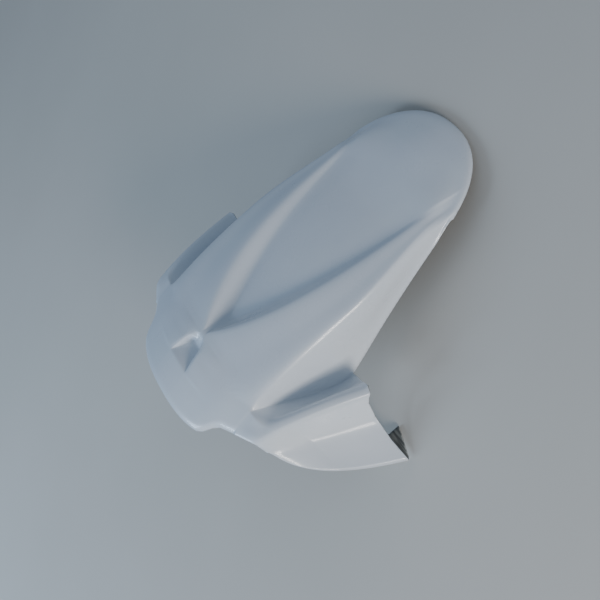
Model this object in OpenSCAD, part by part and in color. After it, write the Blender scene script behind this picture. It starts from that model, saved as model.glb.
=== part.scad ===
// One-piece moulded rear fender. X runs across, Y from the front edge to the tip of the tongue, Z up.
// The surface is lofted along stations (distance behind the front edge). At each station a chain of
// rails gives half width and height over the crown line, and a smooth curve joins them.

/* [Overall] */
// Length from the front edge to the tip of the tongue
length = 434; // [420:1:450]
// Thickness of the moulded wall
wall = 3; // [2:0.5:3.5]
// Radius of the arch over the tyre, at its top
arch_r = 900; // [800:10:1050]
// Distance over which the arch would run out straight
arch_ease = 650; // [600:10:800]
// Station of the arch's top
arch_top = 198; // [190:1:206]

/* [Front edge] */
// Half width of the front edge, out to its ears
ear_w = 81; // [78:1:84]
// How far the ears sit behind the middle of the front edge
ear_sweep = 11; // [8:1:14]
// Depth of the step behind each ear
ear_step = 21; // [16:1:23]
// Width over which that step runs
ear_step_w = 16; // [12:1:20]
// Sweep of the wing's front edge, for each millimetre of width
wing_sweep = 0.5; // [0.4:0.05:0.6]
// Depth of the rolled lip along the front
lip_h = 6; // [3:1:8]
// Length of that lip
lip_l = 11; // [8:1:14]

/* [Body] */
// Half width of the body at its shoulders
shoulder_w = 107; // [103:1:111]
// Drop of the shoulders below the crown line
shoulder_drop = 18; // [15:1:20]
// Drop of the shoulders near the tip
tip_shoulder_drop = 12; // [10:1:14]
// Half width at the shoulders near the tip
tip_shoulder_w = 88; // [85:1:89]
// Station where the tongue starts to narrow
taper_start = 217; // [200:1:240]
// Drop of the crown between the ears and the scoop
crown_drop = 4; // [2:1:6]
// How far the middle of the tongue's end rises above that
tip_rise = 8; // [4:1:9]
// Length of the round end of the tongue
tip_l = 103; // [90:1:110]
// Half width of the round end, for its curve
tip_w = 97; // [96:1:100]
// Drop from the middle of the plain tip section to its edge
tip_round = 11.5; // [9:0.5:14]
// Length at the tip that has this plain section
tip_plain = 55; // [50:1:65]
// Length over which the scoop fades into it
tip_blend = 45; // [40:1:55]

/* [Tongue edge] */
// Half width of the edge where the wing ends
edge_w = 114; // [112:1:116]
// Half width of the edge near the tip
tip_edge_w = 93; // [92:1:95]
// Depth of the edge where the wing ends
edge_drop = 91; // [80:1:95]
// Depth of the edge near the tip
tip_edge_drop = 20; // [18:1:24]

/* [Scoop] */
// Station of the point of the V
scoop_start = 81; // [79:1:84]
// Half width that the rims of the scoop tend to
scoop_rim_w = 81; // [76:1:84]
// Length over which the rims open
scoop_rim_l = 87; // [80:1:100]
// Station of the point of the sunken floor
floor_start = 108; // [105:1:114]
// Half width that the floor tends to
floor_w = 95; // [90:1:98]
// Length over which the floor opens
floor_l = 170; // [155:1:185]
// Depth of the scoop just behind its point
scoop_depth = 16; // [8:1:18]
// Depth of the scoop near the tip
scoop_tip_depth = 6; // [3:1:7]

/* [Pocket] */
// Station where the pocket's floor leaves the surface
pocket_start = 38; // [35:1:42]
// Station of the pocket's back wall
pocket_end = 75; // [72:1:76]
// Half width of the pocket at its front
pocket_w = 21; // [17:1:24]
// Half width of the pocket at its back
pocket_back_w = 13; // [11:1:16]
// Depth of the pocket at its back
pocket_depth = 13; // [8:1:14]
// Width of the pocket's sloping side
pocket_side = 8; // [7:1:9]
// Length of the pocket's sloping back wall
pocket_back_l = 12; // [8:1:14]

/* [Valley] */
// Station where the valley starts
valley_start = 73; // [70:1:80]
// Half width of the valley at its start
valley_w = 110; // [109:1:112]
// Half width of the valley at its end
valley_end_w = 115; // [114:1:118]
// Depth of the valley at its start
valley_drop = 19; // [18:1:21]
// Station where the wing's valley ends and the tongue's free edge starts
wing_end = 175; // [170:1:178]

/* [Wing] */
// Station where the wing starts to widen
wing_start = 56; // [52:1:58]
// Half width at the ridge, front
ridge_w = 137; // [134:1:140]
// Half width at the ridge, rear
ridge_end_w = 168; // [162:1:171]
// Depth of the ridge, front
ridge_drop = 20; // [18:1:23]
// Depth of the ridge, rear
ridge_end_drop = 59; // [50:1:62]
// Half width at the bottom edge, front
skirt_w = 146; // [145:1:149]
// Half width at the bottom edge, rear tip
skirt_end_w = 214; // [204:1:217]
// Depth of the bottom edge, front
skirt_drop = 38; // [34:1:42]
// Depth of the bottom edge, rear tip
skirt_end_drop = 130; // [120:1:136]
// Station of the wing's rear tip
skirt_end = 158; // [154:1:162]
// Width of the flange turned in under the wing, front
flange_w = 10; // [9:1:14]
// Width of that flange, rear
flange_end_w = 36; // [32:1:40]

/* [Hidden] */

// Rows before the wing ends, and rows along the rest of the tongue
front_stations = [0, 3, 9, 17, 25, pocket_start + 2, pocket_start + 8, pocket_start + 14, pocket_start + 20,
    pocket_end - 9, pocket_end - 6, pocket_end - 3, pocket_end, pocket_end + 2, scoop_start, scoop_start + 5, scoop_start + 13,
    scoop_start + 22, 113, 124, 136, 149, 162, wing_end];
split_row = len(front_stations) - 1;
tongue_rows = 24;
last_row = split_row + tongue_rows;
// Curve steps between one rail and the next, from the middle outward
body_steps = [2, 2, 3, 2, 2, 2, 2, 2];
wing_steps = [2, 2, 2, 1, 1, 2, 1, 1, 3];
steps = concat(body_steps, wing_steps);
edge_rail = len(body_steps);
last_rail = len(steps);
// Station where each rail from the valley outward ends, which makes the wing's hollow rear edge
rear_edge = [wing_end, 178, 184, 180, 171, 163, 158, skirt_end, 166, 174];

// Station of the deepest floor, and the distance over which the floor comes up again
deep_start = floor_start - 4;
deep_l = 280;
// Lengths over which the floor sinks behind the point of the V, and leaves the crown's own curve
sink_l = 36;
flatten_l = 30;
// Rise of the floor's middle over its sides, and the length over which it grows
swell = 1.5;
swell_l = 37;
// Half width left at the rims, and at the floor, between the pocket and the scoop
closed_rim = 8;
closed_floor = 2;
closing_l = 14;
// Narrowest side wall of the scoop
side_min = 3;
// Station and length over which the body's side wall takes its full shape, and that shape
side_start = 86;
side_l = 37;
side_bulge = 1;
side_turn = 2;
// Length over which the edge settles behind the wing, and roundness of its rise there
edge_l = 14;
edge_round = 0.08;
// Length of the round end that lies behind the widest part of the tongue
tip_taper = 72;
// Growth of the ridge, and of the bottom edge across and down
ridge_growth = 1.25;
skirt_growth = [0.45, 0.42];
// Dish between ridge and bottom edge: share of the way across and down at three rails. At the
// wing's front the section is straight, with even shares.
dish = [[0.09, 0.26], [0.26, 0.62], [0.6, 0.85]];
dish_front = [0.25, 0.5, 0.72];
dish_growth = 3;
// Curve of the ears and of the tongue's round end
ear_power = 4;
tip_power = 2.3;
// Cosine that ends the growth of the wall's offset at a sharp crease
miter_limit = 0.22;
// Lip at the tip, and the share of the front lip that the wing has
tip_lip = 3;
wing_lip_share = 1 / 3;

function mix(a, b, t) = a + (b - a) * t;
function clamp(t) = max(0, min(1, t));
function ease(t) = let (c = clamp(t)) c * c * (3 - 2 * c);
// Share of the way to its end value that an opening form has reached
function opened(distance, scale) = 1 - exp(-max(0, distance) / scale);

// Crown line: height over the arch's top, and slope
function arch_z(y) = -y * y / (2 * arch_r) * (1 - y / arch_ease);
function arch_slope(y) = atan(-y / arch_r + 1.5 * y * y / (arch_r * arch_ease));
// Point at a station, a half width and a height over the crown line
function place(s, w, h) = let (y = s - arch_top, a = arch_slope(y))
    [w, y - h * sin(a), arch_z(y) + h * cos(a)];

// Drop of the crown line, and of the crown at a half width
function top_drop(s) = crown_drop * ease((s - 48) / 45) - tip_rise * ease((s - 300) / 110);
function shoulder(s) = let (t = ease((s - taper_start) / (length - tip_taper - taper_start)))
    [mix(shoulder_w, tip_shoulder_w, t), -mix(shoulder_drop, tip_shoulder_drop, t)];
function crown(s, w) = let (sh = shoulder(s), share = clamp(w / sh[0]))
    mix(-top_drop(s), sh[1], share * share);

// Pocket near the front: its floor slopes down from the front, to a rounded back wall
function pocket_share(s) = clamp((s - pocket_start) / (pocket_end - pocket_start));
function pocket_sink(s) = pocket_depth * pocket_share(s) * (1 - ease((s - pocket_end) / pocket_back_l + 1));
function pocket_half(s) = mix(pocket_w, pocket_back_w, pocket_share(s));

// Scoop that opens toward the tip
function scoop_sink(s) = mix(scoop_depth, scoop_tip_depth, clamp((s - deep_start) / deep_l))
    * ease((s - scoop_start) / sink_l);
// Past the pocket the inner rails close up before the scoop opens them again
function closing(s) = ease((s - pocket_end) / closing_l + 0.75);
function rim_half(s) = max(scoop_rim_w * opened(s - scoop_start, scoop_rim_l),
    mix(pocket_half(s), closed_rim, closing(s)));
function floor_half(s) = max(min(floor_w * opened(s - floor_start, floor_l), rim_half(s) - side_min),
    mix(pocket_half(s) - pocket_side, closed_floor, closing(s)));
function floor_middle(s) = -top_drop(s) - pocket_sink(s) - scoop_sink(s);
// Height of the floor at a share of its half width
function floor_height(s, share, half) = floor_middle(s)
    - (crown(s, 0) - crown(s, share * half)) * (1 - ease((s - scoop_start) / flatten_l))
    + swell * ease((s - deep_start) / swell_l) * (1 - share * share);

// The plain crowned section at the tip, and how much of the scoop is left toward it
function plain_height(s, w) = floor_middle(s) + swell - tip_round * pow(clamp(w / tip_edge_w), 2);
function scoop_left(s) = ease((length - tip_plain - s) / tip_blend);

// Valley in front of wing_end, free edge of the tongue behind it
function rounded(t) = (sqrt(t * t + edge_round * edge_round) - edge_round)
    / (sqrt(1 + edge_round * edge_round) - edge_round);
function edge(s) = s < wing_end
    ? let (t = clamp((s - valley_start) / (wing_end - valley_start)))
        [mix(valley_w, valley_end_w, t), -mix(valley_drop, edge_drop, sin(90 * t))]
    : let (t = clamp((s - wing_end) / (length - tip_taper - wing_end)))
        [mix(edge_w, tip_edge_w, t) + (valley_end_w - edge_w) * (1 - ease((s - wing_end) / edge_l)),
         -mix(edge_drop, tip_edge_drop, rounded(t))];
function ridge(s) = let (t = clamp((s - wing_start) / (rear_edge[3] - wing_start)))
    [mix(ridge_w, ridge_end_w, t), -mix(ridge_drop, ridge_end_drop, pow(t, ridge_growth))];
function wing_share(s) = clamp((s - wing_start) / (skirt_end - wing_start));
function skirt(s) = let (t = wing_share(s))
    [mix(skirt_w, skirt_end_w, pow(t, skirt_growth[0])),
     -mix(skirt_drop, skirt_end_drop, pow(t, skirt_growth[1]))];
function between(a, b, across, down) = [mix(a[0], b[0], across), mix(a[1], b[1], down)];

// The chain of rails at one station, each [half width, height over the crown line]
function body_rails(s) = let (
        rim = rim_half(s), half = floor_half(s), sh = shoulder(s), ed = edge(s),
        shelf = mix(rim, sh[0], 0.55), shape = ease((s - side_start) / side_l))
    [[0, floor_height(s, 0, half)],
     [0.55 * half, floor_height(s, 0.55, half)],
     [half, floor_height(s, 1, half)],
     [rim, crown(s, rim)],
     [shelf, crown(s, shelf)],
     sh + [-2, 0.5],
     between(sh, ed, 0.3, 0.3) + [side_bulge * shape, 0],
     [mix(mix(sh[0], ed[0], 0.65), ed[0] - side_turn, shape),
      mix(ed[1], sh[1], mix(0.35, 0.2, shape))],
     ed];
function wing_rails(s) = let (
        ed = edge(s), rg = ridge(s), sk = skirt(s), t = wing_share(s),
        fl = mix(flange_w, flange_end_w, t), bowl = min(1, dish_growth * t))
    [between(ed, rg, 0.3, 0.14),
     rg + [-9, 2.5],
     rg,
     for (n = [0 : 2])
         between(rg, sk, mix(dish_front[n], dish[n][0], bowl), mix(dish_front[n], dish[n][1], bowl)),
     sk,
     sk - [0.45 * fl, 0],
     sk - [fl, 0]];
function rails(s) = concat(
    [for (r = body_rails(s)) [r[0], mix(plain_height(s, r[0]), r[1], scoop_left(s))]],
    wing_rails(s));

// Direction of the chain at a rail: never past either neighbour, so that the curve makes no ripple
function gentle(p, q, before, after) = p * q <= 0 ? 0
    : 3 * (before + after) / ((2 * after + before) / p + (after + 2 * before) / q);
function chain_dir(chain, k) = let (
        back = k == 0 ? chain[0] - [-chain[1][0], chain[1][1]] : chain[k] - chain[k - 1],
        on = k == last_rail ? back : chain[k + 1] - chain[k],
        p = back / norm(back), q = on / norm(on))
    [for (axis = [0, 1]) gentle(p[axis], q[axis], norm(back), norm(on))];
// Toward the end of the wing the side wall comes to run straight into the free edge
function wall_dir(chain, s) = mix(unit(chain[edge_rail] - chain[edge_rail - 1]), chain_dir(chain, edge_rail),
    ease((wing_end - s) / 45));
function curve(chain, k, t, s) = let (
        a = chain[k], b = chain[k + 1], span = norm(b - a), t2 = t * t, t3 = t2 * t,
        end_dir = k + 1 == edge_rail ? wall_dir(chain, s) : chain_dir(chain, k + 1))
    (2 * t3 - 3 * t2 + 1) * a + (t3 - 2 * t2 + t) * span * chain_dir(chain, k)
    + (3 * t2 - 2 * t3) * b + (t3 - t2) * span * end_dir;

// Columns from the middle outward, each [rail, share of the way to the next rail]
columns = concat([for (k = [0 : last_rail - 1]) for (i = [0 : steps[k] - 1]) [k, i / steps[k]]],
    [[last_rail - 1, 1]]);
last_col = len(columns) - 1;
edge_col = [for (j = [0 : last_col]) if (columns[j][0] == edge_rail) j][0];
function column_point(j, s) = curve(rails(s), columns[j][0], columns[j][1], s);

// Front edge: swept ears, a step behind each, then the wing's front edge
function front_edge(w) = ear_sweep * pow(min(w, ear_w) / ear_w, ear_power)
    + ear_step * ease((w - ear_w + 4) / ear_step_w) + wing_sweep * max(0, min(w, ridge_w) - ear_w - 12);
// Round end of the tongue
function tip_edge(w) = length - tip_l * (1 - sqrt(max(0, 1 - pow(clamp(w / tip_w), tip_power))));
// A column's first and last station, found from its own half width there
function first_station(j, s = 0, tries = 5) = tries == 0 ? s
    : first_station(j, front_edge(column_point(j, s)[0]), tries - 1);
function tip_station(j, s, tries = 6) = tries == 0 ? s
    : tip_station(j, tip_edge(column_point(j, s)[0]), tries - 1);
function rear_station(j) = j <= edge_col ? wing_end
    : let (k = columns[j][0] - edge_rail) mix(rear_edge[k], rear_edge[k + 1], columns[j][1]);
firsts = [for (j = [0 : last_col]) first_station(j)];
tips = [for (j = [0 : edge_col]) tip_station(j, length - tip_taper)];

// Rolled lips: a quarter round along the front edge and along the tip
function lip(share, height) = let (e = 1 - clamp(share)) height * (1 - sqrt(1 - e * e));
function front_point(i, j) = let (
        s = mix(firsts[j], rear_station(j), front_stations[i] / wing_end),
        p = column_point(j, s),
        h = lip((s - firsts[j]) / lip_l, j > edge_col ? lip_h * wing_lip_share : lip_h))
    place(s, p[0], p[1] - h);
function tongue_point(i, j) = let (
        s = mix(wing_end, tips[j], (i - split_row) / tongue_rows),
        p = column_point(j, s))
    place(s, p[0], p[1] - lip((tips[j] - s) / lip_l, tip_lip));
half_grid = [for (i = [0 : last_row]) i <= split_row
    ? [for (j = [0 : last_col]) front_point(i, j)]
    : [for (j = [0 : edge_col]) tongue_point(i, j)]];

// Whole width: column numbers run from minus to plus; the near half is mirrored
function row_end(i) = i <= split_row ? last_col : edge_col;
function outer(i, j) = let (p = half_grid[i][abs(j)]) [j < 0 ? -p[0] : p[0], p[1], p[2]];
function outer_near(i, j) = let (r = max(0, min(last_row, i)), e = row_end(r)) outer(r, max(-e, min(e, j)));
function unit(v) = v / norm(v);
// Offset for one millimetre of wall: longer at a crease, so that both sides keep their full wall
function inward(i, j) = let (
        next_i = i < last_row && abs(j) <= row_end(i + 1) ? i + 1 : i,
        along = outer_near(next_i, j) - outer_near(max(0, i - 1), j),
        left = outer(i, j) - outer_near(i, j - 1),
        right = outer_near(i, j + 1) - outer(i, j),
        before = norm(left) > 0 ? unit(left) : unit(right),
        after = norm(right) > 0 ? unit(right) : before)
    unit(cross(along, before + after)) / max(miter_limit, sqrt((1 + before * after) / 2));
outer_points = [for (i = [0 : last_row]) for (j = [-row_end(i) : row_end(i)]) outer(i, j)];
inner_points = [for (i = [0 : last_row]) for (j = [-row_end(i) : row_end(i)])
    outer(i, j) + wall * inward(i, j)];
count = len(outer_points);
front_width = 2 * last_col + 1;
tongue_width = 2 * edge_col + 1;
function index(i, j) = i <= split_row
    ? i * front_width + j + last_col
    : (split_row + 1) * front_width + (i - split_row - 1) * tongue_width + j + edge_col;

// Two triangles for each cell, mirrored about the middle
function cell(i, j) = let (a = index(i, j), b = index(i, j + 1), c = index(i + 1, j + 1), d = index(i + 1, j))
    j >= 0 ? [[a, c, b], [a, d, c]] : [[a, d, b], [b, d, c]];
outer_faces = [for (i = [0 : last_row - 1]) for (j = [-row_end(i + 1) : row_end(i + 1) - 1])
    each cell(i, j)];
inner_faces = [for (f = outer_faces) [f[0] + count, f[2] + count, f[1] + count]];
rim_line = concat(
    [for (j = [-last_col : last_col]) index(0, j)],
    [for (i = [1 : split_row]) index(i, last_col)],
    [for (j = [last_col - 1 : -1 : edge_col]) index(split_row, j)],
    [for (i = [split_row + 1 : last_row]) index(i, edge_col)],
    [for (j = [edge_col - 1 : -1 : -edge_col]) index(last_row, j)],
    [for (i = [last_row - 1 : -1 : split_row]) index(i, -edge_col)],
    [for (j = [-edge_col - 1 : -1 : -last_col]) index(split_row, j)],
    [for (i = [split_row - 1 : -1 : 1]) index(i, -last_col)]);
rim_faces = [for (n = [0 : len(rim_line) - 1])
    let (a = rim_line[n], b = rim_line[(n + 1) % len(rim_line)])
    each [[a, b + count, a + count], [a, b, b + count]]];

// Resting pose: the two wing tips and the end of the tongue touch the floor
all_points = concat(outer_points, inner_points);
lowest = min([for (p = outer_points) p[2]]);
wing_foot = [for (p = outer_points) if (p[2] == lowest) p][0];
rest_slope = min([for (p = outer_points) if (p[1] > wing_foot[1] + 50) (p[2] - lowest) / (p[1] - wing_foot[1])]);
rest_pitch = -atan(rest_slope);
function pitched(p) = [p[0], p[1] * cos(rest_pitch) - p[2] * sin(rest_pitch),
    p[1] * sin(rest_pitch) + p[2] * cos(rest_pitch)];
rest_points = [for (p = all_points) pitched(p)];
floor_z = min([for (p = rest_points) p[2]]);
middle_y = (min([for (p = rest_points) p[1]]) + max([for (p = rest_points) p[1]])) / 2;

module fender_shell() {
    color([0.86, 0.89, 0.93])
        translate([0, -middle_y, -floor_z])
            polyhedron(rest_points, concat(outer_faces, inner_faces, rim_faces));
}

fender_shell();
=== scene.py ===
"""Looks for the one-piece motorcycle rear fender.

The shell is lofted again from the same rails as the CAD solid, on a finer grid. It stands in for the
CAD shell and gets a gelcoat outside, a raw glass-fibre inside and a trimmed edge. Four forms follow the
photograph more closely than the CAD does: the pocket, the start of the wing's ridge, the hollow under
that ridge, and the reach of the scoop and the shoulders into the tip. Shapes are in millimetres until
the mesh is made, then in metres.
"""
import math

import bpy
import numpy as np
from mathutils import Matrix, Vector


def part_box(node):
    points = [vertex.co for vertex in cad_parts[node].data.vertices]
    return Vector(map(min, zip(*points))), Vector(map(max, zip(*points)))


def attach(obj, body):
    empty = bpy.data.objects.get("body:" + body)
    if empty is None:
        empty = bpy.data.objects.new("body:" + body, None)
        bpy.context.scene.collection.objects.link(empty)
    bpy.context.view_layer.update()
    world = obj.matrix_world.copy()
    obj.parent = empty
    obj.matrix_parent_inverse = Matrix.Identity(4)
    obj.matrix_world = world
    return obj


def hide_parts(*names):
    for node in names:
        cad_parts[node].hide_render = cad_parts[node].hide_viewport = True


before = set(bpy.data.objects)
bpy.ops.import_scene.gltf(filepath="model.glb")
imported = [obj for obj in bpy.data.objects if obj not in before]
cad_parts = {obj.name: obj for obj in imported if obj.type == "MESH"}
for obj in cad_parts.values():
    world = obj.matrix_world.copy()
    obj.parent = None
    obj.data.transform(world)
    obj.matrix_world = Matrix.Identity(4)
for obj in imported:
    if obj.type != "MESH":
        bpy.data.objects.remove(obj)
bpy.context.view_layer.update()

MM = 0.001

# ---------------------------------------------------------------- shape: driving dimensions
# Lengths: _W is across the fender (a rail's from its middle), _DROP below the crown line and _L along it.
# A station, such as each _START, is a distance along the crown line from its front end
WALL = 3.0
THIN_WALL, WALL_GROWTH = 0.2, 0.26
LENGTH, ARCH_R, ARCH_EASE, ARCH_TOP = 434.0, 900.0, 650.0, 198.0

# Front edge with its ears, and rolled lips
EAR_W, EAR_SWEEP, EAR_STEP, EAR_STEP_W, EAR_POWER = 81.0, 11.0, 21.0, 16.0, 4.0
EAR_STEP_LEAD, WING_SWEEP, WING_SWEEP_LAG = 4.0, 0.5, 12.0
LIP_H, LIP_L, TIP_LIP, WING_LIP_SHARE = 6.0, 11.0, 3.0, 1 / 3

# Crown, shoulder and tip. The sides and the scoop have run out this far (_PLAIN) before the tip's end
SHOULDER_W, SHOULDER_DROP, TIP_SHOULDER_W, TIP_SHOULDER_DROP = 107.0, 18.0, 88.0, 12.0
SHOULDER_IN, SHOULDER_UP, SHELF_SHARE = 2.0, 0.5, 0.55
TAPER_START, CROWN_DROP, CROWN_START, CROWN_L = 217.0, 4.0, 48.0, 45.0
TIP_RISE, RISE_START, RISE_L = 8.0, 300.0, 110.0
TIP_L, TIP_W, TIP_POWER, TIP_TAPER = 103.0, 97.0, 2.3, 72.0
TIP_ROUND, SIDES_PLAIN, SCOOP_PLAIN, TIP_BLEND = 11.5, 58.0, 42.0, 45.0

# Side wall and free edge
EDGE_W, TIP_EDGE_W, EDGE_DROP, TIP_EDGE_DROP = 114.0, 93.0, 91.0, 20.0
EDGE_L, EDGE_ROUND, EDGE_TURN_L = 14.0, 0.08, 45.0
SIDE_START, SIDE_L, SIDE_BULGE, SIDE_TURN = 86.0, 37.0, 1.0, 2.0
SIDE_SHARE, TURN_SHARE, TURN_RISE, TURN_RISE_END = 0.3, 0.65, 0.35, 0.2

# Scoop
SCOOP_START, RIM_W, RIM_L = 81.0, 81.0, 87.0
FLOOR_START, FLOOR_LEAD, FLOOR_W, FLOOR_L, FLOOR_MID = 108.0, 4.0, 95.0, 170.0, 0.55
SCOOP_DEPTH, SCOOP_TIP_DEPTH, DEEP_L = 16.0, 6.0, 280.0
SINK_L, FLATTEN_L, SWELL, SWELL_L, SIDE_MIN = 36.0, 30.0, 1.5, 37.0, 3.0

# Pocket
POCKET_START, POCKET_END, POCKET_W, POCKET_TURN_W = 40.0, 79.0, 20.6, 12.5
POCKET_TURN, POCKET_FLOOR_TURN, POCKET_FLOOR_END = 73.0, 58.0, 70.0
POCKET_FLOOR_START_W, POCKET_FLOOR_W = 19.1, 12.5
POCKET_FLOOR_SLOPE, POCKET_BACK_SLOPE, POCKET_FILLET = 0.48, 0.70, 0.9
CLOSED_RIM, CLOSED_FLOOR = 5.0, 2.5

# Wing: valley, the face from there up to the ridge, the hollow under the ridge (both in shares across
# and down), bottom edge, flange, and the rear edge's station at each rail from the valley's bottom on
VALLEY_START, VALLEY_W, VALLEY_END_W, VALLEY_DROP, WING_END = 73.0, 110.0, 115.0, 19.0, 175.0
WING_START, RIDGE_W, RIDGE_END_W, RIDGE_DROP, RIDGE_END_DROP = 56.0, 137.0, 168.0, 24.0, 59.0
RIDGE_GROWTH, RIDGE_IN, RIDGE_UP = 1.25, 9.0, 2.5
FACE_ACROSS, FACE_DOWN, FACE_DOWN_END, FACE_GROWTH = 0.3, 0.3, 0.14, 3.0
SKIRT_W, SKIRT_END_W, SKIRT_DROP, SKIRT_END_DROP, SKIRT_END = 146.0, 214.0, 38.0, 130.0, 158.0
SKIRT_GROWTH_W, SKIRT_GROWTH_DROP = 0.45, 0.42
HOLLOW = ((0.02, 0.22), (0.07, 0.60), (0.53, 0.85))
HOLLOW_FRONT = (0.25, 0.5, 0.72)
HOLLOW_GROWTH = 3.0
FLANGE_W, FLANGE_END_W, FLANGE_MID = 10.0, 36.0, 0.45
REAR_EDGE = (WING_END, 178.0, 184.0, 180.0, 171.0, 163.0, 158.0, SKIRT_END, 166.0, 174.0)
RIDGE_REAR = REAR_EDGE[3]

# Grid: curve steps between one rail and the next, rails that are used by number, rows, rounds of
# solving and smoothing, and limits
BODY_STEPS = (4, 4, 6, 8, 6, 3, 4, 3)
WING_STEPS = (5, 4, 3, 2, 3, 5, 3, 3, 6)
STEPS = BODY_STEPS + WING_STEPS
EDGE_RAIL = len(BODY_STEPS)
LAST_RAIL = len(STEPS)
SCOOP_RAILS, SKIRT_RAIL = 4, 15
FRONT_ROWS, TONGUE_ROWS = 100, 90
FRONT_PASSES, TIP_PASSES, NORMAL_PASSES = 5, 6, 4
CLEAR_OF_FOOT, EDGE_SAMPLING = 50.0, 3
TINY, SAME_WAY = 1e-9, 1e-12


def mix(a, b, t):
    return a + (b - a) * t


def clamp(t):
    return np.clip(t, 0.0, 1.0)


def ease(t):
    c = clamp(t)
    return c * c * (3 - 2 * c)


def opened(distance, scale):
    """Share of the way to its end value that an opening form has reached."""
    return 1 - np.exp(-np.maximum(0.0, distance) / scale)


# ---------------------------------------------------------------- shape: crown line and rails
def place(s, w, h):
    """Points at stations s, half widths w and heights h, which stand square on the crown line."""
    y = s - ARCH_TOP
    slope = np.arctan(-y / ARCH_R + 1.5 * y * y / (ARCH_R * ARCH_EASE))
    z = -y * y / (2 * ARCH_R) * (1 - y / ARCH_EASE)
    return np.stack([w, y - h * np.sin(slope), z + h * np.cos(slope)], -1)


def top_drop(s):
    """How far the middle of the crown lies under the crown line."""
    return CROWN_DROP * ease((s - CROWN_START) / CROWN_L) - TIP_RISE * ease((s - RISE_START) / RISE_L)


def shoulder(s):
    """Half width and height of the shoulder; edge, ridge and skirt give the same of their rails."""
    t = ease((s - TAPER_START) / (LENGTH - TIP_TAPER - TAPER_START))
    return mix(SHOULDER_W, TIP_SHOULDER_W, t), -mix(SHOULDER_DROP, TIP_SHOULDER_DROP, t)


def crown(s, w):
    """Height of the crown at half width w, before anything is sunk into it."""
    sh_w, sh_h = shoulder(s)
    return mix(-top_drop(s), sh_h, clamp(w / sh_w) ** 2)


def pocket_sink(s):
    """Floor that slopes down from the front, and a back wall that climbs out again, with a fillet."""
    ramp = POCKET_FLOOR_SLOPE * (s - POCKET_START)
    back = POCKET_BACK_SLOPE * (POCKET_END - s)
    lower = (ramp + back - np.sqrt((ramp - back) ** 2 + POCKET_FILLET**2)) / 2
    return np.maximum(0.0, lower)


def rounded_end(half, turn, end, s):
    """Half width that closes with a quarter ellipse between two stations."""
    return half * np.sqrt(1 - clamp((s - turn) / (end - turn)) ** 2)


def pocket_half(s):
    share = clamp((s - POCKET_START) / (POCKET_TURN - POCKET_START))
    straight = mix(POCKET_W, POCKET_TURN_W, share)
    return np.maximum(CLOSED_RIM, rounded_end(straight, POCKET_TURN, POCKET_END, s))


def pocket_floor(s):
    share = clamp((s - POCKET_START) / (POCKET_FLOOR_TURN - POCKET_START))
    straight = mix(POCKET_FLOOR_START_W, POCKET_FLOOR_W, share)
    return np.maximum(CLOSED_FLOOR, rounded_end(straight, POCKET_FLOOR_TURN, POCKET_FLOOR_END, s))


def rim_half(s):
    return np.maximum(RIM_W * opened(s - SCOOP_START, RIM_L), pocket_half(s))


def floor_half(s):
    wide = np.minimum(FLOOR_W * opened(s - FLOOR_START, FLOOR_L), rim_half(s) - SIDE_MIN)
    return np.maximum(wide, pocket_floor(s))


def floor_middle(s):
    depth = mix(SCOOP_DEPTH, SCOOP_TIP_DEPTH, clamp((s - FLOOR_START + FLOOR_LEAD) / DEEP_L))
    return -top_drop(s) - pocket_sink(s) - depth * ease((s - SCOOP_START) / SINK_L)


def floor_height(s, share, half):
    """Height of the sunk floor at a share of its half width: it follows the crown, then flattens."""
    lowered = (crown(s, 0 * s) - crown(s, share * half)) * (1 - ease((s - SCOOP_START) / FLATTEN_L))
    swell = SWELL * ease((s - FLOOR_START + FLOOR_LEAD) / SWELL_L) * (1 - share * share)
    return floor_middle(s) - lowered + swell


def plain_height(s, w):
    """Height of the plain rounded tip, where the scoop and the shoulders have run out."""
    return floor_middle(s) + SWELL - TIP_ROUND * clamp(w / TIP_EDGE_W) ** 2


def edge(s):
    """Bottom of the valley in front of WING_END, free edge of the tongue behind it."""
    t = clamp((s - VALLEY_START) / (WING_END - VALLEY_START))
    u = clamp((s - WING_END) / (LENGTH - TIP_TAPER - WING_END))
    rise = (np.sqrt(u * u + EDGE_ROUND**2) - EDGE_ROUND) / (math.sqrt(1 + EDGE_ROUND**2) - EDGE_ROUND)
    settle = (VALLEY_END_W - EDGE_W) * (1 - ease((s - WING_END) / EDGE_L))
    front = s < WING_END
    w = np.where(front, mix(VALLEY_W, VALLEY_END_W, t), mix(EDGE_W, TIP_EDGE_W, u) + settle)
    valley_drop = mix(VALLEY_DROP, EDGE_DROP, np.sin(np.pi / 2 * t))
    return w, -np.where(front, valley_drop, mix(EDGE_DROP, TIP_EDGE_DROP, rise))


def wing_share(s):
    return clamp((s - WING_START) / (SKIRT_END - WING_START))


def ridge(s):
    t = clamp((s - WING_START) / (RIDGE_REAR - WING_START))
    return mix(RIDGE_W, RIDGE_END_W, t), -mix(RIDGE_DROP, RIDGE_END_DROP, t**RIDGE_GROWTH)


def skirt(s):
    """Bottom edge of the wing."""
    t = wing_share(s)
    drop = mix(SKIRT_DROP, SKIRT_END_DROP, t**SKIRT_GROWTH_DROP)
    return mix(SKIRT_W, SKIRT_END_W, t**SKIRT_GROWTH_W), -drop


def between(a, b, across, down):
    """Point at one share of the way across from a to b, and at another of the way down."""
    return mix(a[0], b[0], across), mix(a[1], b[1], down)


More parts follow.
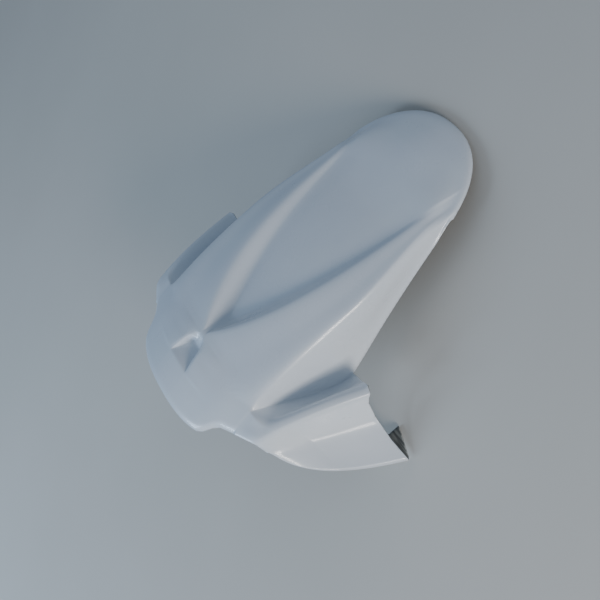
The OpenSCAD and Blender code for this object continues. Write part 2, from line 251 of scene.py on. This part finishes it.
def rails(s):
    """The chain of rails at stations s: an array of [station, rail, (half width, height)]."""
    rim, half, sh, ed = rim_half(s), floor_half(s), shoulder(s), edge(s)
    rg, sk, share = ridge(s), skirt(s), wing_share(s)
    shelf = mix(rim, sh[0], SHELF_SHARE)
    shape = ease((s - SIDE_START) / SIDE_L)
    side = between(sh, ed, SIDE_SHARE, SIDE_SHARE)
    turn = mix(mix(sh[0], ed[0], TURN_SHARE), ed[0] - SIDE_TURN, shape)
    body = [
        (0 * s, floor_height(s, 0.0, half)),
        (FLOOR_MID * half, floor_height(s, FLOOR_MID, half)),
        (half, floor_height(s, 1.0, half)),
        (rim, crown(s, rim)),
        (shelf, crown(s, shelf)),
        (sh[0] - SHOULDER_IN, sh[1] + SHOULDER_UP),
        (side[0] + SIDE_BULGE * shape, side[1]),
        (turn, mix(ed[1], sh[1], mix(TURN_RISE, TURN_RISE_END, shape))),
        ed,
    ]
    scoop_left = ease((LENGTH - SCOOP_PLAIN - s) / TIP_BLEND)
    sides_left = ease((LENGTH - SIDES_PLAIN - s) / TIP_BLEND)
    left = SCOOP_RAILS * [scoop_left] + (len(body) - SCOOP_RAILS) * [sides_left]
    body = [(w, mix(plain_height(s, w), h, part)) for (w, h), part in zip(body, left)]
    face_down = mix(FACE_DOWN, FACE_DOWN_END, ease(share * FACE_GROWTH))
    face = between(ed, rg, FACE_ACROSS, face_down)
    open_share = np.minimum(1.0, HOLLOW_GROWTH * share)
    hollow = [between(rg, sk, mix(front, across, open_share), mix(front, down, open_share))
              for front, (across, down) in zip(HOLLOW_FRONT, HOLLOW)]
    flange = mix(FLANGE_W, FLANGE_END_W, share)
    wing = [face, (rg[0] - RIDGE_IN, rg[1] + RIDGE_UP), rg, *hollow, sk]
    wing += [(sk[0] - FLANGE_MID * flange, sk[1]), (sk[0] - flange, sk[1])]
    return np.stack([np.stack([w + 0 * s, h + 0 * s], -1) for w, h in body + wing], 1)


def direction(chain, k):
    """Slope of the chain at rail k, never past either neighbour, so that the curve makes no ripple."""
    mirrored = chain[:, 1] * (-1, 1)
    back = chain[:, k] - (mirrored if k == 0 else chain[:, k - 1])
    ahead = back if k == LAST_RAIL else chain[:, k + 1] - chain[:, k]
    b, a = np.linalg.norm(back, axis=1)[:, None], np.linalg.norm(ahead, axis=1)[:, None]
    p, q = back / b, ahead / a
    same = p * q > SAME_WAY
    safe_p, safe_q = np.where(same, p, 1.0), np.where(same, q, 1.0)
    return np.where(same, 3 * (b + a) / ((2 * a + b) / safe_p + (a + 2 * b) / safe_q), 0.0)


def curve(chain, k, t, s):
    """Points at share t of the way from rail k to the next, one for each station.

    Near the wing's end the curve stops following the wing at the edge rail, which is free behind it.
    """
    a, b = chain[:, k], chain[:, k + 1]
    span = np.linalg.norm(b - a, axis=1)[:, None]
    end = direction(chain, k + 1)
    if k + 1 == EDGE_RAIL:
        end = mix((b - a) / span, end, ease((WING_END - s) / EDGE_TURN_L)[:, None])
    h1, h2 = 2 * t**3 - 3 * t**2 + 1, t**3 - 2 * t**2 + t
    return h1 * a + h2 * span * direction(chain, k) + (1 - h1) * b + (t**3 - t**2) * span * end


# ---------------------------------------------------------------- shape: columns and rows
def front_edge(w):
    """Station of the front edge at half width w."""
    step = EAR_STEP * ease((w - EAR_W + EAR_STEP_LEAD) / EAR_STEP_W)
    sweep = WING_SWEEP * max(0.0, min(w, RIDGE_W) - EAR_W - WING_SWEEP_LAG)
    return EAR_SWEEP * (min(w, EAR_W) / EAR_W) ** EAR_POWER + step + sweep


def tip_edge(w):
    """Station of the round tip's edge at half width w."""
    return LENGTH - TIP_L * (1 - math.sqrt(max(0.0, 1 - clamp(w / TIP_W) ** TIP_POWER)))


def lip(share, height):
    """Drop of an edge that is rolled down in a quarter circle."""
    e = 1 - clamp(share)
    return height * (1 - np.sqrt(1 - e * e))


def column(k, t, s):
    s = np.atleast_1d(np.asarray(s, float))
    return curve(rails(s), k, t, s)


def half_grid():
    """Outer points of the half with x >= 0, [row, column, xyz]; rows behind the wing end at the edge."""
    columns = [(k, i / n) for k, n in enumerate(STEPS) for i in range(n)] + [(LAST_RAIL - 1, 1.0)]
    edge_col = sum(BODY_STEPS)
    grid = np.full((FRONT_ROWS + TONGUE_ROWS + 1, len(columns), 3), np.nan)
    front = np.linspace(0, 1, FRONT_ROWS + 1)
    back = np.linspace(0, 1, TONGUE_ROWS + 1)
    for j, (k, t) in enumerate(columns):
        first = 0.0
        for _ in range(FRONT_PASSES):
            first = float(front_edge(column(k, t, first)[0, 0]))
        wing = j > edge_col
        rear = mix(*REAR_EDGE[k - EDGE_RAIL: k - EDGE_RAIL + 2], t) if wing else WING_END
        s = mix(first, rear, front)
        p = column(k, t, s)
        drop = lip((s - first) / LIP_L, LIP_H * WING_LIP_SHARE if wing else LIP_H)
        grid[: FRONT_ROWS + 1, j] = place(s, p[:, 0], p[:, 1] - drop)
        if wing:
            continue
        tip = LENGTH - TIP_TAPER
        for _ in range(TIP_PASSES):
            tip = float(tip_edge(column(k, t, tip)[0, 0]))
        s = mix(WING_END, tip, back)
        p = column(k, t, s)
        grid[FRONT_ROWS:, j] = place(s, p[:, 0], p[:, 1] - lip((tip - s) / LIP_L, TIP_LIP))
    return grid, edge_col


def rest_turn(grid):
    """Turn about X that lays the shell on its wing tips and the end of its tongue."""
    p = grid[~np.isnan(grid[..., 0])]
    foot = p[p[:, 2].argmin()]
    behind = p[p[:, 1] > foot[1] + CLEAR_OF_FOOT]
    slope = ((behind[:, 2] - foot[2]) / (behind[:, 1] - foot[1])).min()
    return np.array(Matrix.Rotation(-math.atan(slope), 3, "X"))


# ---------------------------------------------------------------- mesh
def grid_normals(points):
    """Smooth unit normals of the whole grid, pointing out, by central differences and averaging."""
    def shifted(a, di, dj):
        out = np.full_like(a, np.nan)
        src = a[max(0, -di): a.shape[0] - max(0, di), max(0, -dj): a.shape[1] - max(0, dj)]
        out[max(0, di): a.shape[0] - max(0, -di), max(0, dj): a.shape[1] - max(0, -dj)] = src
        return out

    def span(axis):
        step = (1, 0) if axis == 0 else (0, 1)
        before, after = shifted(points, *step), shifted(points, -step[0], -step[1])
        return np.where(np.isnan(after), points, after) - np.where(np.isnan(before), points, before)

    def unit(v):
        return v / np.maximum(np.linalg.norm(v, axis=-1, keepdims=True), TINY)

    n = unit(np.cross(unit(span(1)), unit(span(0))))
    for _ in range(NORMAL_PASSES):
        total, weight = n.copy(), np.ones(n.shape[:2] + (1,))
        for di, dj in ((1, 0), (-1, 0), (0, 1), (0, -1)):
            m = shifted(n, di, dj)
            ok = ~np.isnan(m[..., :1])
            total += np.where(ok, m, 0.0)
            weight += ok
        n = unit(total / weight)
    return n


def wall_thickness(points):
    """The wall, thinner towards the sharp bottom corner of the wings, where its two faces meet."""
    steps = np.nan_to_num(np.linalg.norm(np.diff(points, axis=1), axis=-1))
    along = np.concatenate([np.zeros((len(points), 1)), np.cumsum(steps, axis=1)], axis=1)
    middle, corner = points.shape[1] // 2, sum(STEPS[:SKIRT_RAIL])
    gap = np.minimum(abs(along - along[:, [middle - corner]]), abs(along - along[:, [middle + corner]]))
    gap[FRONT_ROWS + 1:] = WALL / WALL_GROWTH  # no such corner on the tongue
    return np.minimum(WALL, THIN_WALL + WALL_GROWTH * gap)


def boundary(rows, mid, edge_col):
    """Grid points round the open edge, in order, as (row, column); mid is the middle column."""
    loop = [(0, j) for j in range(2 * mid + 1)]
    loop += [(i, 2 * mid) for i in range(1, FRONT_ROWS + 1)]
    loop += [(FRONT_ROWS, j) for j in range(2 * mid - 1, mid + edge_col - 1, -1)]
    loop += [(i, mid + edge_col) for i in range(FRONT_ROWS + 1, rows + 1)]
    loop += [(rows, j) for j in range(mid + edge_col - 1, mid - edge_col - 1, -1)]
    loop += [(i, mid - edge_col) for i in range(rows - 1, FRONT_ROWS - 1, -1)]
    loop += [(FRONT_ROWS, j) for j in range(mid - edge_col - 1, -1, -1)]
    loop += [(i, 0) for i in range(FRONT_ROWS - 1, 0, -1)]
    return loop


half, edge_col = half_grid()
turn = rest_turn(half)
full = np.concatenate([half[:, :0:-1] * (-1, 1, 1), half], axis=1) @ turn.T
valid = ~np.isnan(full[..., 0])
inside = full - wall_thickness(full)[..., None] * grid_normals(full)

box_lo, box_hi = (np.array(corner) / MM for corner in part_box("fender_shell"))
used = np.concatenate([full[valid], inside[valid]])
shift = np.array([
    0.0,
    (box_lo[1] + box_hi[1] - used[:, 1].min() - used[:, 1].max()) / 2,
    box_lo[2] - used[:, 2].min(),
])
full += shift
inside += shift

index = np.full(valid.shape, -1)
index[valid] = np.arange(valid.sum())
count = int(valid.sum())
verts = [full[valid], inside[valid]]

OUTSIDE, INSIDE, TRIM = 0, 1, 2
faces, kinds = [], []
for i in range(valid.shape[0] - 1):
    for j in range(valid.shape[1] - 1):
        a, b, c, d = index[i, j], index[i, j + 1], index[i + 1, j + 1], index[i + 1, j]
        if min(a, b, c, d) < 0:
            continue
        faces.append((a, b, c, d))
        kinds.append(OUTSIDE)
        faces.append((d + count, c + count, b + count, a + count))
        kinds.append(INSIDE)

# Trimmed edge: a flat cut with softened corners, from the gelcoat to the raw inside. The profile gives
# shares of the wall and how far the cut stands out there
EDGE_PROFILE = ((0.12, 0.3), (0.35, 0.45), (0.65, 0.45), (0.88, 0.3))
loop = boundary(valid.shape[0] - 1, half.shape[1] - 1, edge_col)
outer_loop = np.array([full[c] for c in loop])
inner_loop = np.array([inside[c] for c in loop])
ahead = np.roll(outer_loop, -1, 0) - np.roll(outer_loop, 1, 0)
away = np.cross(ahead, outer_loop - inner_loop)
away /= np.maximum(np.linalg.norm(away, axis=1, keepdims=True), TINY)
rings = [np.array([index[c] for c in loop])]
next_index = 2 * count
for depth, push in EDGE_PROFILE:
    verts.append(mix(outer_loop, inner_loop, depth) + push * away)
    rings.append(np.arange(next_index, next_index + len(loop)))
    next_index += len(loop)
rings.append(rings[0] + count)
for ring, (upper, lower) in enumerate(zip(rings, rings[1:])):
    for n in range(len(loop)):
        m = (n + 1) % len(loop)
        faces.append((upper[m], upper[n], lower[n], lower[m]))
        kinds.append(OUTSIDE if ring == 0 else TRIM)

# Distance of each point from the open edge, which drives the wear of the finish
all_verts = np.concatenate(verts)
edge_points = outer_loop[::EDGE_SAMPLING]
distance = np.array([np.sqrt(((edge_points - p) ** 2).sum(1).min()) for p in full[valid]])
edge_distance = np.concatenate([distance, distance, np.zeros(len(all_verts) - 2 * count)])

mesh = bpy.data.meshes.new("fender_skin")
mesh.from_pydata((all_verts * MM).tolist(), [], [tuple(int(v) for v in f) for f in faces])
mesh.attributes.new("edge_mm", "FLOAT", "POINT").data.foreach_set("value", edge_distance.astype(np.float32))
mesh.polygons.foreach_set("material_index", np.array(kinds, dtype=np.int32))
mesh.polygons.foreach_set("use_smooth", np.ones(len(kinds), dtype=bool))
mesh.update()
mesh.validate()
shell = bpy.data.objects.new("fender_skin", mesh)
bpy.context.scene.collection.objects.link(shell)
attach(shell, "root")
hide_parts("fender_shell")


# ---------------------------------------------------------------- materials
class Nodes:
    """Short calls for building one material's node tree."""

    def __init__(self, name):
        self.material = bpy.data.materials.new(name)
        self.material.use_nodes = True
        self.tree = self.material.node_tree
        self.shader = self.tree.nodes["Principled BSDF"]

    def add(self, kind, **inputs):
        node = self.tree.nodes.new(kind)
        for name, value in inputs.items():
            socket = node.inputs[name.replace("_", " ")]
            if isinstance(value, bpy.types.NodeSocket):
                self.tree.links.new(value, socket)
            else:
                socket.default_value = value
        return node

    def link(self, source, target):
        self.tree.links.new(source, target)

    def object_space(self, scale=(1.0, 1.0, 1.0), rotation=(0.0, 0.0, 0.0)):
        node = self.add("ShaderNodeMapping", Vector=self.add("ShaderNodeTexCoord").outputs["Object"])
        node.inputs["Scale"].default_value = scale
        node.inputs["Rotation"].default_value = rotation
        return node.outputs["Vector"]

    def noise(self, vector, scale, detail=3.0, roughness=0.5):
        sizes = {"Scale": scale, "Detail": detail, "Roughness": roughness}
        return self.add("ShaderNodeTexNoise", Vector=vector, **sizes).outputs["Fac"]

    def ramp(self, factor, stops):
        node = self.add("ShaderNodeValToRGB", Fac=factor)
        while len(node.color_ramp.elements) < len(stops):
            node.color_ramp.elements.new(0.5)
        for element, (position, colour) in zip(node.color_ramp.elements, stops):
            element.position = position
            element.color = (*colour, 1.0) if len(colour) == 3 else (colour[0],) * 3 + (1.0,)
        return node.outputs["Color"]

    def blend(self, factor, a, b, mode="MIX"):
        node = self.tree.nodes.new("ShaderNodeMix")
        node.data_type = "RGBA"
        node.blend_type = mode
        # The node has a pair of inputs for each data type: 6 and 7 are the colours, and output 2 theirs
        for socket, value in ((node.inputs[0], factor), (node.inputs[6], a), (node.inputs[7], b)):
            if isinstance(value, bpy.types.NodeSocket):
                self.tree.links.new(value, socket)
            elif isinstance(value, tuple):
                socket.default_value = (*value, 1.0)
            else:
                socket.default_value = value
        return node.outputs[2]

    def span(self, value, low, high, to_low, to_high):
        node = self.tree.nodes.new("ShaderNodeMapRange")
        limits = {"From Min": low, "From Max": high, "To Min": to_low, "To Max": to_high}
        for name, number in limits.items():
            node.inputs[name].default_value = number
        self.tree.links.new(value, node.inputs["Value"])
        return node.outputs["Result"]

    def bump(self, height, strength, distance, normal=None):
        node = self.add("ShaderNodeBump", Height=height, Strength=strength, Distance=distance)
        if normal is not None:
            self.tree.links.new(normal, node.inputs["Normal"])
        return node.outputs["Normal"]

    def attribute(self, name):
        node = self.tree.nodes.new("ShaderNodeAttribute")
        node.attribute_name = name
        return node.outputs["Fac"]


def gelcoat():
    """Cool white gelcoat: faint mottle, a grey film of dust near the edge, orange peel and fine scuffs."""
    n = Nodes("white_gelcoat")
    space = n.object_space()
    white_stops = ((0.3, (0.74, 0.79, 0.85)), (0.7, (0.80, 0.84, 0.885)))
    mottle = n.ramp(n.noise(space, 9.0, 4.0, 0.55), white_stops)
    patches = n.ramp(n.noise(space, 2.6, 2.0), ((0.35, (0.96, 0.965, 0.97)), (0.65, (1.0, 1.0, 1.0))))
    colour = n.blend(1.0, mottle, patches, "MULTIPLY")
    near = n.span(n.attribute("edge_mm"), 0.4, 2.2, 0.55, 0.0)
    colour = n.blend(near, colour, (0.50, 0.53, 0.56))
    specks = n.ramp(n.noise(space, 420.0, 1.0), ((0.80, (0.0,)), (0.86, (0.35,))))
    colour = n.blend(specks, colour, (0.42, 0.43, 0.43))
    n.link(colour, n.shader.inputs["Base Color"])
    dull = n.span(n.noise(space, 14.0, 5.0, 0.6), 0.3, 0.7, 0.24, 0.36)
    n.link(dull, n.shader.inputs["Roughness"])
    peel = n.bump(n.noise(space, 260.0, 2.0), 0.05, 0.0006)
    ripple = n.bump(n.noise(space, 26.0, 1.0), 0.06, 0.004, peel)
    scuffs = n.noise(n.object_space((60.0, 900.0, 300.0), (0.2, 0.1, 0.6)), 1.0, 2.0)
    n.link(n.bump(scuffs, 0.02, 0.0004, ripple), n.shader.inputs["Normal"])
    n.shader.inputs["Coat Weight"].default_value = 0.35
    n.shader.inputs["Coat Roughness"].default_value = 0.08
    return n.material


def laminate(name, light):
    """Raw glass-fibre mat in grey resin: chopped strands that cross in several directions."""
    def tone(*colour):
        return tuple(light * c for c in colour)

    n = Nodes(name)
    strands = None
    for turn_z in (0.0, 0.7, 1.35, 2.2):
        space = n.object_space((34.0, 420.0, 160.0), (0.3 * turn_z, 0.2, turn_z))
        line = n.ramp(n.noise(space, 1.0, 1.0), ((0.52, (0.0,)), (0.66, (1.0,))))
        strands = line if strands is None else n.blend(1.0, strands, line, "LIGHTEN")
    blotch = n.noise(n.object_space(), 18.0, 3.0)
    resin = n.ramp(blotch, ((0.3, tone(0.060, 0.063, 0.060)), (0.7, tone(0.115, 0.118, 0.110))))
    glass = n.blend(strands, resin, tone(0.205, 0.210, 0.195))
    n.link(glass, n.shader.inputs["Base Color"])
    n.link(n.span(blotch, 0.3, 0.7, 0.38, 0.62), n.shader.inputs["Roughness"])
    coarse = n.bump(n.noise(n.object_space(), 55.0, 3.0), 0.35, 0.0015)
    n.link(n.bump(strands, 0.5, 0.0006, coarse), n.shader.inputs["Normal"])
    return n.material


mesh.materials.append(gelcoat())
mesh.materials.append(laminate("raw_laminate", 1.0))
mesh.materials.append(laminate("trimmed_laminate", 1.9))

# ---------------------------------------------------------------- floor, light and camera
STUDIO_HALF, STUDIO_GAP = 4.0, 0.0005
floor_mesh = bpy.data.meshes.new("studio_floor")
corners = [(STUDIO_HALF * x, STUDIO_HALF * y, 0) for x, y in ((-1, -1), (1, -1), (1, 1), (-1, 1))]
floor_mesh.from_pydata(corners, [], [(0, 1, 2, 3)])
floor = bpy.data.objects.new("studio_floor", floor_mesh)
floor.location.z = -STUDIO_GAP
bpy.context.scene.collection.objects.link(floor)
pale = Nodes("pale_floor")
floor_stops = ((0.3, (0.62, 0.59, 0.54)), (0.7, (0.65, 0.62, 0.57)))
pale.link(pale.ramp(pale.noise(pale.object_space(), 3.0), floor_stops), pale.shader.inputs["Base Color"])
pale.shader.inputs["Roughness"].default_value = 0.85
floor_mesh.materials.append(pale.material)

CENTRE = (0.0, -0.02, 0.08)


def area_light(name, at, size, power, colour):
    """A round soft light that points at the middle of the fender."""
    data = bpy.data.lights.new(name, "AREA")
    data.shape = "DISK"
    data.size = size
    data.energy = power
    data.color = colour
    lamp = bpy.data.objects.new(name, data)
    lamp.location = at
    lamp.rotation_euler = (Vector(CENTRE) - Vector(at)).to_track_quat("-Z", "Y").to_euler()
    bpy.context.scene.collection.objects.link(lamp)


area_light("key_light", (1.90, 0.16, 0.54), 0.7, 21.0, (1.0, 0.96, 0.91))
area_light("front_light", (-0.12, -1.66, 1.22), 0.9, 19.0, (0.58, 0.77, 1.0))
world = bpy.data.worlds.new("studio")
world.use_nodes = True
background = world.node_tree.nodes["Background"]
background.inputs["Color"].default_value = (0.60, 0.77, 1.0, 1.0)
background.inputs["Strength"].default_value = 0.32
bpy.context.scene.world = world

# The photograph looks down on the +X side from behind, with the picture turned so that the tongue
# points to the upper right
CAMERA_AT = Vector((0.5950, 0.2744, 0.6859))
CAMERA_AIM = Vector((0.0399, -0.0297, 0.0891))
PICTURE_UP = Vector((-0.6073, 0.7763, 0.1693))
camera = bpy.data.objects.new("camera", bpy.data.cameras.new("camera"))
camera.data.sensor_width = 36.0
camera.data.lens = 48.8
back = (CAMERA_AT - CAMERA_AIM).normalized()
right = PICTURE_UP.cross(back).normalized()
up = back.cross(right)
camera.matrix_world = Matrix.Translation(CAMERA_AT) @ Matrix((right, up, back)).transposed().to_4x4()
bpy.context.scene.collection.objects.link(camera)
bpy.context.scene.camera = camera
